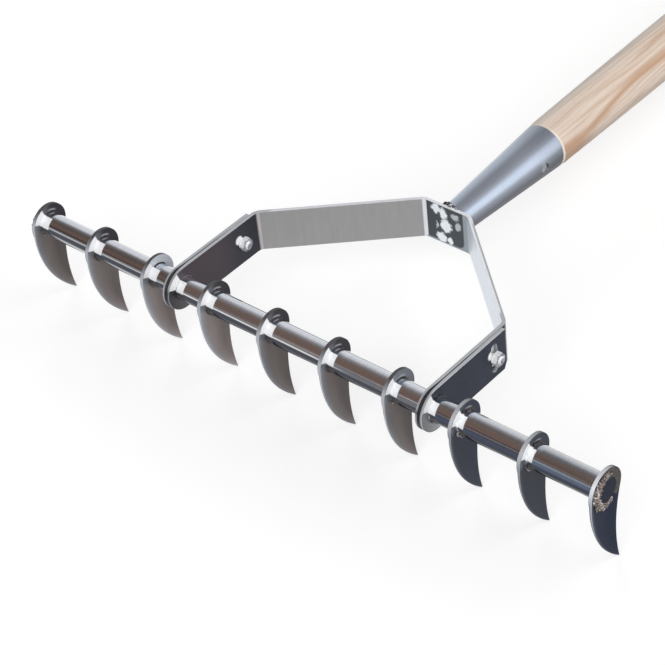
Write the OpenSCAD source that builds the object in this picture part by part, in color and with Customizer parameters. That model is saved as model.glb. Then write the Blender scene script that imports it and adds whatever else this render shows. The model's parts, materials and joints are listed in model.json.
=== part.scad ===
// Thatch rake: an ash handle in a tapered steel socket, a bent steel yoke, and
// a round bar of crescent blades that tilts in the yoke. Two bolts in curved
// slots clamp the tilt. Lengths are in millimetres. The rake lies on its blade
// tips and the end of its handle, with +Z up and +Y towards the handle's end.
// Each piece is drawn with the bar's axis on X, then laid down as a whole.

/* [Handle] */
// Length of the handle, with the part inside the socket
handle_l = 1500; // [900:10:1800]
// Diameter of the handle's straight shaft
handle_d = 36; // [33:0.5:40]
// Length over which the handle swells from the socket's mouth to its shaft
flare_l = 195; // [80:5:300]
// Radius of the rounding at the handle's free end
handle_end_r = 9; // [3:0.5:14]
// Chamfer of the shoulder that meets the socket's mouth
shoulder_chamfer = 0.8; // [0.3:0.1:1.2]
// Diameter of the handle where its shoulder ends
shoulder_d = 33; // [31:0.2:35]
// Length over which the shoulder rises above the socket
shoulder_l = 7; // [3:0.5:12]

/* [Socket] */
// Length of the tapered socket
socket_l = 99; // [80:1:140]
// Outside diameter of the socket at its mouth
socket_mouth_d = 32; // [28:0.5:33]
// Outside diameter of the socket at the yoke
socket_tip_d = 20.4; // [18:0.2:22]
// Wall of the socket
socket_wall = 1.5; // [1:0.1:2.5]
// Space left in the socket below the handle
socket_space = 6; // [2:0.5:15]

/* [Socket screw] */
// Distance from the socket's mouth to the screw
screw_inset = 18; // [12:1:40]
// Diameter of the screw's shank
screw_d = 3.5; // [3:0.5:5]
// Diameter of the screw's countersunk head
screw_head_d = 6.5; // [6:0.5:9]
// Length of the screw
screw_l = 20; // [12:1:24]

/* [Yoke] */
// Width of the steel strip
strip_w = 29; // [26:0.5:34]
// Thickness of the steel strip
strip_t = 2.5; // [2:0.1:4]
// Distance from the bar's axis to the bend at the end of each leg
leg_l = 68.5; // [60:0.5:90]
// Distance from the bar's axis to the inside of the yoke's back
yoke_depth = 138; // [120:1:180]
// Width of the yoke's back between its bends, inside
yoke_back_w = 34; // [32:1:50]
// Inside radius of the bends
bend_r = 5.5; // [3:0.5:7]

/* [Bar and blades] */
// Diameter of the bar
bar_d = 16; // [12:0.5:18]
// Length of bar that stands out of each end blade
bar_end = 0.8; // [0.4:0.1:2]
// Number of blades
blade_count = 10; // [8:1:14]
// Number of blades outside each leg of the yoke
blades_outside = 3; // [2:1:3]
// Distance from blade to blade
blade_pitch = 48; // [36:1:60]
// Thickness of a blade
blade_t = 2.5; // [2:0.1:4]
// Diameter of the round head of a blade
blade_head_d = 27.5; // [25:0.5:32]
// Distance from the bar's axis down to the tip of a blade
blade_drop = 59; // [50:1:75]
// Distance from the bar's axis back to the tip of a blade
blade_hook = 11.2; // [6:0.2:16]
// Radius of the bulging front edge
blade_front_r = 70; // [60:1:90]
// Radius of the hollow rear edge
blade_rear_r = 104; // [80:1:160]
// Width of the bevel ground on one side of the front edge
bevel_w = 1; // [0.5:0.1:2]
// Thickness that the bevel leaves at the front edge
bevel_land = 1.2; // [0.5:0.1:1.8]

/* [Tilt clamp] */
// Thickness of the plates that carry the slots
plate_t = 2.5; // [2:0.1:4]
// Distance from the end of a plate to the bend of the leg beside it
plate_setback = 4; // [3:0.5:8]
// Length of the cut lower corner of a plate
corner_l = 2; // [1:0.5:4]
// Height of the cut lower corner of a plate
corner_h = 4; // [2:0.5:6]
// Distance from the end of a plate to the middle of its slot
slot_inset = 10.5; // [9:0.5:14]
// Tilt of the blades each way from the middle, in degrees
tilt = 8; // [4:0.5:9]
// Diameter of the clamp bolts
bolt_d = 5; // [4:0.5:6]
// Width across the flats of the bolt heads and nuts
hex_w = 8; // [7:0.5:10]
// Height of the bolt heads
bolt_head_h = 3.5; // [2.5:0.1:5]
// Height of the nuts
nut_h = 4; // [3:0.1:6]
// Length of bolt that stands out of its nut
bolt_end = 1.5; // [1:0.1:5]

/* [Fits] */
// Radial clearance of the yoke's legs on the bar
run_fit = 0.08; // [0.04:0.01:0.1]
// Clearance where pieces are welded or driven together
seat_fit = 0.05; // [0.02:0.01:0.1]
// Gap between a slotted plate and what slides on its faces
slide_gap = 0.12; // [0.1:0.01:0.3]
// Clearance of a bolt in its slot
slot_fit = 0.25; // [0.2:0.05:0.5]
// Clearance of the wood in the socket
wood_fit = 0.1; // [0.05:0.05:0.3]

/* [Hidden] */
$fn = 96;
// Length by which every cut runs past the face that it opens
overrun = 1;
// Number of steps in the handle's flare and in each rounded corner
flare_steps = 14;
round_steps = 8;
// Size of the welds beside each blade and each plate
root_weld = 1.5;
// Size of the socket's weld, as a share of the strip that shows beside it
socket_weld_share = 0.7;
// Size of the end welds, as a share of the ring that the bar leaves on a blade
end_weld_share = 0.38;
// Stretch of an end weld round the bar, from the rear over the top and front
end_weld_from = 70;
end_weld_to = 290;
// Chamfer of the bolt ends and of the corners of the hexagons
bolt_chamfer = 0.5;
// Depth of the screw's head below the top line of the socket
screw_sink = 0.8;
// Height of the cone under the screw's head, which slopes at 45 degrees
screw_head_h = (screw_head_d - screw_d) / 2;

// Stations along the handle's axis, from the bar's axis
back_y = yoke_depth + strip_t;
socket_y = back_y + seat_fit;
mouth_y = socket_y + socket_l;
tenon_y = socket_y + socket_space;
shoulder_y = mouth_y + wood_fit;
shaft_y = shoulder_y + flare_l;
end_y = tenon_y + handle_l;
screw_y = mouth_y - screw_inset;

// Places across the rake
yoke_w = (blade_count - 2 * blades_outside) * blade_pitch;
leg_x = yoke_w / 2;
plate_x = leg_x + strip_t + slide_gap;
arm_x = plate_x + plate_t + slide_gap;
bar_l = (blade_count - 1) * blade_pitch + blade_t + 2 * bar_end;

// Radii and places of the clamp
bar_r = bar_d / 2;
head_r = blade_head_d / 2;
strip_r = strip_w / 2;
plate_l = leg_l - plate_setback;
slot_r = plate_l - slot_inset;
slot_w = bolt_d + 2 * slot_fit;
bolt_l = seat_fit + strip_t + plate_t + 2 * slide_gap + nut_h + bolt_end;

// Blade outline: the front and rear edges are arcs that leave the round head
// smoothly and meet at the tip.
tip = [blade_hook, -blade_drop];
front_c = arc_centre(tip, blade_front_r - head_r, blade_front_r);
rear_c = arc_centre(tip, blade_rear_r + head_r, blade_rear_r);

// Lie of the rake: turned until the tips and the handle's end share the floor
end_c = [end_y - handle_end_r, handle_d / 2 - handle_end_r];
lie_run = end_c.x - blade_hook;
lie_rise = blade_drop - end_c.y;
lie_angle = atan2(lie_rise, lie_run) - asin(handle_end_r / norm([lie_run, lie_rise]));
lie_lift = blade_hook * sin(lie_angle) + blade_drop * cos(lie_angle);
blade_front = blade_front_r - front_c.x * cos(lie_angle) - front_c.y * sin(lie_angle);
lie_front = max(strip_r, blade_front);
lie_end = end_c.x * cos(lie_angle) + end_c.y * sin(lie_angle) + handle_end_r;
lie_mid = (lie_end - lie_front) / 2;

BLADES = [for (i = [1 : blade_count]) str(i < 10 ? "blade_0" : "blade_", i)];

steel = [0.74, 0.75, 0.77];
dark_steel = [0.36, 0.36, 0.39];
satin_steel = [0.55, 0.58, 0.63];
weld_steel = [0.62, 0.57, 0.52];
ash = [0.82, 0.67, 0.50];

// Centre of the arc of radius rb through p, seen rb from p and ra from zero
function arc_centre(p, ra, rb) =
    let (
        d = norm(p),
        u = p / d,
        a = (ra * ra - rb * rb + d * d) / (2 * d)
    )
    a * u + sqrt(ra * ra - a * a) * [-u.y, u.x];

function direction(v) = v / norm(v);

// Points of an arc that turns from one angle to another
function arc(c, r, from, to) =
    [for (i = [0 : round_steps])
        let (a = from + (to - from) * i / round_steps)
        c + r * [cos(a), sin(a)]];

function blade_x(i) = (i - (blade_count + 1) / 2) * blade_pitch;

// Radius of the socket's outside at a station along the handle's axis
function socket_r(y) =
    (socket_tip_d + (socket_mouth_d - socket_tip_d) * (y - socket_y) / socket_l) / 2;

// Lays the rake on the floor, centred over the origin
module lay_down() {
    translate([0, -lie_mid, lie_lift])
        rotate([-lie_angle, 0, 0])
            children();
}

// Turns a shape whose axis is Z so that the axis lies along X, at a place on X
module across(x) {
    translate([x, 0, 0])
        rotate([90, 0, 90])
            children();
}

// Turns a shape whose axis is Z so that the axis lies along the handle
module along_handle() {
    rotate([-90, 0, 0])
        children();
}

// Hexagon with its outer corners turned off, standing on z = 0
module hexagon(h) {
    corner_r = hex_w / 2 / cos(30);
    intersection() {
        cylinder(r = corner_r, h = h, $fn = 6);
        rotate_extrude()
            polygon([
                [0, 0],
                [corner_r, 0],
                [corner_r, h - bolt_chamfer],
                [hex_w / 2, h],
                [0, h]
            ]);
    }
}

// Quarter round bead in the corner of a shaft of radius r and the face z = 0
module bead(r, size) {
    rotate_extrude()
        translate([r + seat_fit, seat_fit])
            intersection() {
                circle(r = size);
                square(size);
            }
}

// Profile of the countersunk screw, grown by fit, with its head open by rise.
// The cone under the head is cone_h high; none leaves a plain step there.
module screw_profile(fit, rise, cone_h) {
    top = socket_r(screw_y) - screw_sink;
    seat = top - screw_head_h;
    shank_r = screw_d / 2 + fit;
    cap_r = screw_head_d / 2 + fit;
    polygon([
        [0, top - screw_l - fit],
        [shank_r, top - screw_l + screw_d],
        [shank_r, seat],
        [cap_r, seat + cone_h],
        [cap_r, top + rise],
        [0, top + rise]
    ]);
}

// Room for the screw: a countersunk hole in the socket, a stepped one in the wood
module screw_cut(cone_h) {
    translate([0, screw_y, 0])
        across(0)
            rotate_extrude()
                screw_profile(seat_fit, overrun, cone_h);
}

module handle() {
    mouth_r = socket_mouth_d / 2;
    flare_r = shoulder_d / 2;
    shaft_r = handle_d / 2;
    flare_y = shoulder_y + shoulder_l;
    flare = [for (i = [0 : flare_steps])
        let (s = i / flare_steps)
        [
            flare_r + (shaft_r - flare_r) * sin(90 * s),
            flare_y + (shaft_y - flare_y) * s
        ]];
    color(ash)
        difference() {
            along_handle()
                rotate_extrude()
                    polygon(concat(
                        [
                            [0, tenon_y],
                            [socket_r(tenon_y) - socket_wall - wood_fit, tenon_y],
                            [mouth_r - socket_wall - wood_fit, shoulder_y],
                            [mouth_r - shoulder_chamfer, shoulder_y],
                            [mouth_r, shoulder_y + shoulder_chamfer]
                        ],
                        flare,
                        arc([end_c.y, end_c.x], handle_end_r, 0, 90),
                        [[0, end_y]]
                    ));
            screw_cut(0);
        }
}

module socket() {
    tip_r = socket_tip_d / 2;
    mouth_r = socket_mouth_d / 2;
    color(satin_steel)
        difference() {
            along_handle()
                rotate_extrude()
                    polygon([
                        [tip_r - socket_wall, socket_y],
                        [tip_r, socket_y],
                        [mouth_r, mouth_y],
                        [mouth_r - socket_wall, mouth_y]
                    ]);
            screw_cut(screw_head_h);
        }
}

module socket_screw() {
    color(steel)
        translate([0, screw_y, 0])
            across(0)
                rotate_extrude()
                    screw_profile(0, 0, screw_head_h);
}

module socket_weld() {
    size = (strip_r - socket_tip_d / 2) * socket_weld_share;
    lean = atan2(socket_mouth_d - socket_tip_d, 2 * socket_l);
    color(weld_steel)
        along_handle()
            rotate_extrude()
                translate([socket_r(socket_y) + seat_fit, back_y + seat_fit])
                    intersection() {
                        circle(r = size);
                        square(size);
                        rotate(-lean)
                            square(size);
                    }
}

// Plan of the bent strip: one row of arcs along the inside, one outside
module yoke_plan() {
    corners = [
        [-leg_x, -strip_r],
        [-leg_x, leg_l],
        [-yoke_back_w / 2, yoke_depth],
        [yoke_back_w / 2, yoke_depth],
        [leg_x, leg_l],
        [leg_x, -strip_r]
    ];
    function bend(i, r) =
        let (
            u = direction(corners[i] - corners[i - 1]),
            v = direction(corners[i + 1] - corners[i]),
            out = [-u.y, u.x],
            turn = acos(u * v),
            start = corners[i] - u * bend_r * tan(turn / 2),
            from = atan2(out.y, out.x)
        )
        arc(start - out * bend_r, r, from, from - turn);
    function side(r) = [for (i = [1 : len(corners) - 2]) each bend(i, r)];
    inside = concat([corners[0]], side(bend_r), [corners[5]]);
    outside = concat(
        [corners[0] - [strip_t, 0]],
        side(bend_r + strip_t),
        [corners[5] + [strip_t, 0]]
    );
    polygon(concat(inside, [for (i = [len(outside) - 1 : -1 : 0]) outside[i]]));
}

module yoke() {
    reach = bar_l;
    color(steel)
        difference() {
            intersection() {
                translate([0, 0, -strip_r])
                    linear_extrude(strip_w)
                        yoke_plan();
                across(-reach / 2)
                    linear_extrude(reach) {
                        circle(r = strip_r);
                        translate([0, -strip_r])
                            square([back_y + overrun, strip_w]);
                    }
            }
            across(-reach / 2)
                cylinder(r = bar_r + run_fit, h = reach);
            translate([0, slot_r, 0])
                across(-reach / 2)
                    cylinder(d = bolt_d + 2 * seat_fit, h = reach);
        }
}

module tine_bar() {
    color(steel)
        across(-bar_l / 2)
            cylinder(r = bar_r, h = bar_l);
}

// Room for the bar through a piece of thickness t that stands on z = 0
module bar_bore(t) {
    translate([0, 0, -overrun])
        cylinder(r = bar_r + seat_fit, h = t + 2 * overrun);
}

// Disc of the front edge, with the ground bevel on its lower side
module front_disc() {
    bevel_h = blade_t - bevel_land;
    cylinder(r1 = blade_front_r - bevel_w, r2 = blade_front_r, h = bevel_h);
    translate([0, 0, bevel_h])
        cylinder(r = blade_front_r, h = bevel_land);
}

module blade(i) {
    color(dark_steel)
        across(blade_x(i) - blade_t / 2)
            difference() {
                union() {
                    cylinder(r = head_r, h = blade_t);
                    intersection() {
                        linear_extrude(blade_t)
                            polygon([
                                [0, 0],
                                -direction(front_c) * blade_drop,
                                [-blade_drop, -blade_drop],
                                [blade_drop, -blade_drop],
                                direction(rear_c) * blade_drop
                            ]);
                        translate(front_c)
                            front_disc();
                    }
                }
                translate([rear_c.x, rear_c.y, -overrun])
                    cylinder(r = blade_rear_r, h = blade_t + 2 * overrun);
                bar_bore(blade_t);
            }
}

module blade_welds() {
    color(weld_steel)
        for (i = [1 : blade_count]) {
            if (i < blade_count)
                across(blade_x(i) + blade_t / 2)
                    bead(bar_r, root_weld);
            if (i > 1)
                across(blade_x(i) - blade_t / 2)
                    mirror([0, 0, 1])
                        bead(bar_r, root_weld);
        }
}

module end_welds() {
    size = (head_r - bar_r) * end_weld_share;
    color(weld_steel)
        for (s = [0, 1])
            mirror([s, 0, 0])
                across(blade_x(blade_count) + blade_t / 2 + seat_fit)
                    rotate(end_weld_from)
                        rotate_extrude(angle = end_weld_to - end_weld_from)
                            translate([bar_r + seat_fit + size, 0])
                                intersection() {
                                    circle(r = size);
                                    translate([-size, 0])
                                        square([2 * size, size]);
                                }
}

// Curved slot round the bar's axis, as long as the tilt needs
module slot_cut() {
    depth = plate_t + 2 * overrun;
    translate([0, 0, -overrun]) {
        rotate(-tilt)
            rotate_extrude(angle = 2 * tilt)
                translate([slot_r - slot_w / 2, 0])
                    square([slot_w, depth]);
        for (a = [-tilt, tilt])
            rotate(a)
                translate([slot_r, 0, 0])
                    cylinder(d = slot_w, h = depth);
    }
}

// Plate on the right arm; the left one is its mirror image
module link_plate() {
    across(plate_x)
        difference() {
            linear_extrude(plate_t) {
                circle(r = strip_r);
                polygon([
                    [0, -strip_r],
                    [plate_l - corner_l, -strip_r],
                    [plate_l, corner_h - strip_r],
                    [plate_l, strip_r],
                    [0, strip_r]
                ]);
            }
            bar_bore(plate_t);
            slot_cut();
        }
}

module link_plate_right() {
    color(dark_steel)
        link_plate();
}

module link_plate_left() {
    color(dark_steel)
        mirror([1, 0, 0])
            link_plate();
}

module plate_welds() {
    color(weld_steel)
        for (s = [0, 1])
            mirror([s, 0, 0])
                across(plate_x + plate_t)
                    bead(bar_r, root_weld);
}

// Bolt whose head seats at x and whose shank points along +X
module clamp_bolt(x) {
    color(steel)
        translate([0, slot_r, 0])
            across(x) {
                mirror([0, 0, 1])
                    hexagon(bolt_head_h);
                rotate_extrude()
                    polygon([
                        [0, -bolt_head_h / 2],
                        [bolt_d / 2, -bolt_head_h / 2],
                        [bolt_d / 2, bolt_l - bolt_chamfer],
                        [bolt_d / 2 - bolt_chamfer, bolt_l],
                        [0, bolt_l]
                    ]);
            }
}

// Nut that seats at x on the shank's side
module clamp_nut(x) {
    color(steel)
        translate([0, slot_r, 0])
            across(x)
                difference() {
                    hexagon(nut_h);
                    translate([0, 0, -overrun])
                        cylinder(d = bolt_d + 2 * seat_fit, h = nut_h + 2 * overrun);
                }
}

lay_down() handle();
lay_down() socket();
lay_down() socket_screw();
lay_down() socket_weld();
lay_down() yoke();
lay_down() tine_bar();
for (i = [1 : blade_count])
    lay_down() blade(i);
lay_down() blade_welds();
lay_down() end_welds();
lay_down() link_plate_left();
lay_down() link_plate_right();
lay_down() plate_welds();
lay_down() clamp_bolt(-arm_x);  // clamp_bolt_left
lay_down() clamp_bolt(leg_x - seat_fit);  // clamp_bolt_right
lay_down() clamp_nut(seat_fit - leg_x);  // clamp_nut_left
lay_down() clamp_nut(arm_x);  // clamp_nut_right
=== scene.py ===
"""Looks of a thatch rake: polished steel head, satin socket, ash handle, on a pale studio floor.

Lengths are in metres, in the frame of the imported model. Places on the rake are given from the bar's
axis: x along the bar, y along the handle, z up from the blades. Colours are linear red, green, blue.
Two values for a step are where it is 0 and where it is 1; three for a window are its ends and softness.
"""

import json
import math

import bmesh
import bpy
from mathutils import Matrix, Vector, noise


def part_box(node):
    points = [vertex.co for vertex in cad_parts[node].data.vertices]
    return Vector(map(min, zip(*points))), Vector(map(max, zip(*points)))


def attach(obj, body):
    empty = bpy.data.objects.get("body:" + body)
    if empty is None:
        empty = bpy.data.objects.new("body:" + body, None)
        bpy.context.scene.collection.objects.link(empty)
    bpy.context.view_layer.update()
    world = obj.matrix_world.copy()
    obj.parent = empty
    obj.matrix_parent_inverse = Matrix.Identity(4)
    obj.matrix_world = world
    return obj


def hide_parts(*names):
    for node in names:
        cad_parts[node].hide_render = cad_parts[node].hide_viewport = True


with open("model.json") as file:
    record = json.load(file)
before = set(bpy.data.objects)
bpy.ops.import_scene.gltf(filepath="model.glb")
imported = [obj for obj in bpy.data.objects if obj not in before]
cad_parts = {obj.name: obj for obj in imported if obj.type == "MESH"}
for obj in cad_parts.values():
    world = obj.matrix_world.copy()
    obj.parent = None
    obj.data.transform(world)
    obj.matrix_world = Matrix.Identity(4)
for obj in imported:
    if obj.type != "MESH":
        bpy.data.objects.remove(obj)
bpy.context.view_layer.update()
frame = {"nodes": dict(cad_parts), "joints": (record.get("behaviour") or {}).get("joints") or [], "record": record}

MM = 0.001
DEG = math.radians(1)
TURN = 2 * math.pi


def angles(*degrees):
    """Limits that are given in degrees."""
    return tuple(value * DEG for value in degrees)


# The rake's own axes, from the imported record
BAR = Vector(frame["joints"][0]["pos_m"])
X_WAY = Vector((1, 0, 0))
Y_WAY = Vector(frame["record"]["mounts"][0]["axis"])
Z_WAY = X_WAY.cross(Y_WAY)

HEAD_BODY = "tine_head"
FRAME_BODY = "handle_and_yoke"
BLADES = sorted(name for name in frame["nodes"] if name.startswith("blade_0") or name == "blade_10")
PLATES = ["link_plate_left", "link_plate_right"]


def middle(node):
    """Centre of a solid's box."""
    low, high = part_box(node)
    return (low + high) / 2


# Sizes taken from the solids
BAR_R = (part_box("tine_bar")[1].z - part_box("tine_bar")[0].z) / 2
HEAD_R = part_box(BLADES[0])[1].z - BAR.z
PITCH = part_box(BLADES[1])[0].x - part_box(BLADES[0])[0].x
FIRST_FACE_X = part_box(BLADES[0])[1].x
LAST_X = middle(BLADES[-1]).x
LEG_FACE_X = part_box("clamp_nut_left")[0].x
LEG_R_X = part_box("yoke")[1].x
PLATE_FACE_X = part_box("link_plate_right")[1].x
SEAM_X = (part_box("link_plate_right")[0].x + LEG_R_X) / 2
FOOT_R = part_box("yoke")[1].z - BAR.z
SOCKET_MOUTH_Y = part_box("socket")[1].y

# Camera, placed from the bar's axis
LENS_MM = 125.34
SENSOR_MM = 36
CAMERA_AZIMUTH = 44.313 * DEG
CAMERA_ELEVATION = 39.353 * DEG
CAMERA_ROLL = -6.524 * DEG
CAMERA_SIDE = 17.32 * MM
CAMERA_RISE = 6.97 * MM
CAMERA_DISTANCE = 1367.5 * MM


def spot(x, y, z):
    """A place on the rake, from the bar's axis."""
    return BAR + x * X_WAY + y * Y_WAY + z * Z_WAY


def way(x, y, z):
    """A direction in the rake's own axes."""
    return (x * X_WAY + y * Y_WAY + z * Z_WAY).normalized()


def add_camera():
    back = way(
        math.sin(CAMERA_AZIMUTH) * math.cos(CAMERA_ELEVATION),
        -math.cos(CAMERA_AZIMUTH) * math.cos(CAMERA_ELEVATION),
        math.sin(CAMERA_ELEVATION),
    )
    level = way(math.cos(CAMERA_AZIMUTH), math.sin(CAMERA_AZIMUTH), 0)
    rise = back.cross(level)
    right = math.cos(CAMERA_ROLL) * level + math.sin(CAMERA_ROLL) * rise
    up = back.cross(right)
    eye = BAR + CAMERA_SIDE * right + CAMERA_RISE * up + CAMERA_DISTANCE * back
    data = bpy.data.cameras.new("camera")
    data.sensor_width = SENSOR_MM
    data.lens = LENS_MM
    camera = bpy.data.objects.new("camera", data)
    camera.matrix_world = Matrix.Translation(eye) @ Matrix((right, up, back)).transposed().to_4x4()
    bpy.context.scene.collection.objects.link(camera)
    bpy.context.scene.camera = camera


def srgb(*levels):
    """A colour from its screen values, as the shader wants it."""
    def linear(value):
        share = value / 255
        return share / 12.92 if share <= 0.04045 else ((share + 0.055) / 1.055) ** 2.4
    return tuple(linear(level) for level in levels)


class Graph:
    """The nodes of one material, or of the world.

    An input is a number, a colour, a node's output, or an output with the values of a step or window.
    """

    def __init__(self, name, kind="materials"):
        self.owner = getattr(bpy.data, kind).new(name)
        self.owner.use_nodes = True
        self.tree = self.owner.node_tree
        self.tree.nodes.clear()

    def node(self, kind, inputs, output=0, **settings):
        """An output of a new node."""
        node = self.tree.nodes.new(kind)
        for key, value in settings.items():
            setattr(node, key, value)
        for key, value in inputs.items():
            self.feed(node.inputs[key], value)
        return node.outputs[output]

    def feed(self, socket, value):
        if isinstance(value, tuple) and isinstance(value[0], bpy.types.NodeSocket):
            value = self.share(*value)
        if isinstance(value, bpy.types.NodeSocket):
            self.tree.links.new(value, socket)
        elif socket.type == "RGBA":
            socket.default_value = (*value, 1.0)
        else:
            socket.default_value = value

    def share(self, value, limits):
        return self.step(value, *limits) if len(limits) == 2 else self.window(value, *limits)

    def math(self, operation, *values):
        return self.node("ShaderNodeMath", dict(enumerate(values)), operation=operation)

    def times(self, product, *others):
        for other in others:
            product = self.math("MULTIPLY", product, other)
        return product

    def minus(self, first, second):
        return self.math("SUBTRACT", first, second)

    def most(self, first, second):
        return self.math("MAXIMUM", first, second)

    def size(self, value):
        return self.math("ABSOLUTE", value)

    def mix(self, share, first, second):
        return self.node("ShaderNodeMix", {0: share, 6: first, 7: second}, 2, data_type="RGBA")

    def blend(self, share, first, second):
        return self.node("ShaderNodeMix", {0: share, 2: first, 3: second}, data_type="FLOAT")

    def cover(self, base, *layers):
        """The base under layers, each a tone and the shares whose product is its strength."""
        for tone, *shares in layers:
            base = self.mix(self.times(*shares), base, tone)
        return base

    def scaled(self, colour, level):
        return self.node("ShaderNodeVectorMath", {0: colour, "Scale": level}, operation="SCALE")

    def varied(self, colour, share, low, high):
        """The colour at a level between low and high."""
        return self.scaled(colour, self.blend(share, low, high))

    def step(self, value, low, high):
        """0 on the far side of low, 1 on the far side of high, smooth between."""
        inputs = dict(enumerate((value, low, high, 0.0, 1.0)))
        return self.node("ShaderNodeMapRange", inputs, interpolation_type="SMOOTHSTEP")

    def window(self, value, low, high, soft):
        """1 between low and high, with soft ends."""
        rise = self.step(value, low - soft, low + soft)
        return self.times(rise, self.step(value, high + soft, high - soft))

    def ramp(self, value, stops):
        """A colour ramp; each stop is a place and its colour."""
        result = self.node("ShaderNodeValToRGB", {0: value})
        points = result.node.color_ramp.elements
        while len(points) < len(stops):
            points.new(1.0)
        for point, (place, *colour) in zip(points, stops):
            point.position = place
            point.color = (*colour, 1.0)
        return result

    def angle_ramp(self, angle, stops):
        """A colour ramp over the front half of a round, with its places in degrees."""
        half = self.math("DIVIDE", angle, math.pi)
        places = [(deg / 180 + 0.5, *colour) for deg, *colour in stops]
        return self.ramp(self.math("ADD", half, 0.5), places)

    def place(self):
        return self.node("ShaderNodeTexCoord", {}, "Object")

    def facing(self):
        """The surface's direction in the model's frame, as x, y and z."""
        return self.split(self.node("ShaderNodeTexCoord", {}, "Normal"))

    def along(self, direction):
        """How far a place lies from the bar's axis along a direction."""
        inputs = {0: self.place(), 1: direction}
        far = self.node("ShaderNodeVectorMath", inputs, "Value", operation="DOT_PRODUCT")
        return self.minus(far, BAR.dot(direction))

    def blob(self, first, second, oval):
        """1 inside an oval, 0 outside it; the oval is its centre and its half widths."""
        across = self.math("DIVIDE", self.minus(first, oval[0]), oval[2])
        rise = self.math("DIVIDE", self.minus(second, oval[1]), oval[3])
        return self.step(self.distance(across, rise), 1.25, 0.75)

    def split(self, vector):
        return [self.node("ShaderNodeSeparateXYZ", {0: vector}, axis) for axis in range(3)]

    def join(self, x, y):
        return self.node("ShaderNodeCombineXYZ", {0: x, 1: y})

    def distance(self, first, second):
        squares = self.math("ADD", self.math("POWER", first, 2.0), self.math("POWER", second, 2.0))
        return self.math("SQRT", squares)

    def noise(self, vector, scale, detail=2.0, roughness=0.5):
        inputs = {"Vector": vector, "Scale": scale, "Detail": detail, "Roughness": roughness}
        return self.node("ShaderNodeTexNoise", inputs)

    def spots(self, scale, *texture):
        """Noise that is the same in all directions."""
        return self.noise(self.place(), scale, *texture)

    def grain(self, scales, *texture):
        """Noise with its own scale along each axis."""
        inputs = {0: self.place(), 1: scales}
        stretched = self.node("ShaderNodeVectorMath", inputs, operation="MULTIPLY")
        return self.noise(stretched, 1.0, *texture)

    def bump(self, height, distance, strength):
        inputs = {"Height": height, "Distance": distance, "Strength": strength}
        return self.node("ShaderNodeBump", inputs)

    def surface(self, **inputs):
        named = {key.replace("_", " "): value for key, value in inputs.items()}
        return self.finished(self.node("ShaderNodeBsdfPrincipled", named))

    def finished(self, shader, kind="ShaderNodeOutputMaterial"):
        output = self.tree.nodes.new(kind)
        self.tree.links.new(shader, output.inputs[0])
        return self.owner


# Polished steel of the head, most of whose tones are painted reflections. Angles go round the bar's axis from the
# middle of its upper front and grow downwards; tables of tones give them in degrees.
FRONT_ANGLE = 131 * DEG
BRIGHT_STEEL = (0.68, 0.69, 0.71)
DUSK_STEEL = (0.21, 0.19, 0.19)
DARK_STEEL = (0.036, 0.032, 0.038)
SLATE_STEEL = (0.028, 0.034, 0.055)
WHITE_REFLECTION_STEEL = (0.93, 0.94, 0.96)
SEAM_STEEL = (0.018, 0.018, 0.024)

# Share of mirror in the reflections, roughness and sheen, of flat faces, cut edges and the matt painted white
# reflections
FACE_METAL = 0.6
LAST_FACE_METAL = 0.15
HEAD_METAL = 0.2
RIM_METAL = 0.35
WHITE_REFLECTION_METAL = 0.05
FACE_ROUGH = (0.3, 0.48)
RIM_ROUGH = 0.45
WHITE_REFLECTION_ROUGH = 0.5
PLAIN_SHEEN = 0.5
DULL_SHEEN = 0.1

# Which way a surface faces along the bar
END_FACING = (0.3, 0.6)
SIDE_FACING = (0.35, 0.6)
RIGHT_FACING = (0.5, 0.7)

# Painted reflections round the bar: left of the yoke, inside it, right of it, and beside the last blade
LEFT_BANDS = [
    (-75, 0.75, 0.76, 0.78), (-58, *BRIGHT_STEEL), (-30, *BRIGHT_STEEL), (-24, 0.42, 0.42, 0.43),
    (-8, 0.42, 0.42, 0.43), (-1, 0.56, 0.57, 0.58), (12, 0.56, 0.57, 0.58), (16, 0.17, 0.158, 0.158),
    (25, 0.17, 0.158, 0.158), (27.5, 0.42, 0.43, 0.45), (31, 0.42, 0.43, 0.45),
    (34, 0.072, 0.079, 0.098), (53, 0.05, 0.055, 0.07), (61, 0.38, 0.39, 0.41),
    (72, 0.68, 0.69, 0.72),
]
MIDDLE_BANDS = [
    (-75, 0.9, 0.91, 0.93), (-58, 0.71, 0.72, 0.74), (-40, *BRIGHT_STEEL), (12, *BRIGHT_STEEL),
    (16, *DUSK_STEEL), (25, *DUSK_STEEL), (27.5, *BRIGHT_STEEL), (31, *BRIGHT_STEEL),
    (34, 0.066, 0.072, 0.09), (54, 0.046, 0.05, 0.064), (62, 0.05, 0.053, 0.064),
    (76, 0.08, 0.084, 0.095),
]
RIGHT_BANDS = [
    (-60, *BRIGHT_STEEL), (-46, 0.55, 0.56, 0.58), (-30, 0.41, 0.41, 0.42), (-22, 0.47, 0.47, 0.48),
    (-13, 0.66, 0.66, 0.67), (7, *BRIGHT_STEEL), (11, 0.33, 0.27, 0.26), (16, 0.15, 0.14, 0.16),
    (22, 0.056, 0.058, 0.078), (33, 0.066, 0.076, 0.112), (44, 0.054, 0.062, 0.09),
    (56, 0.03, 0.034, 0.046), (67, 0.12, 0.125, 0.135), (78, 0.2, 0.205, 0.215),
]
TIP_BANDS = [
    (-60, 0.62, 0.63, 0.65), (-41, 0.39, 0.4, 0.42), (-31, 0.3, 0.3, 0.31), (-15, 0.58, 0.58, 0.59),
    (1, 0.54, 0.54, 0.55), (8, 0.68, 0.8, 0.86), (15, 0.24, 0.28, 0.33), (24, 0.105, 0.125, 0.165),
    (33, 0.1, 0.124, 0.175), (42, 0.045, 0.056, 0.08), (54, 0.036, 0.042, 0.056),
    (68, 0.12, 0.125, 0.135),
]
BAND_TWIST = 33 * DEG
BAY_SOFT = 1.5 * MM
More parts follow.
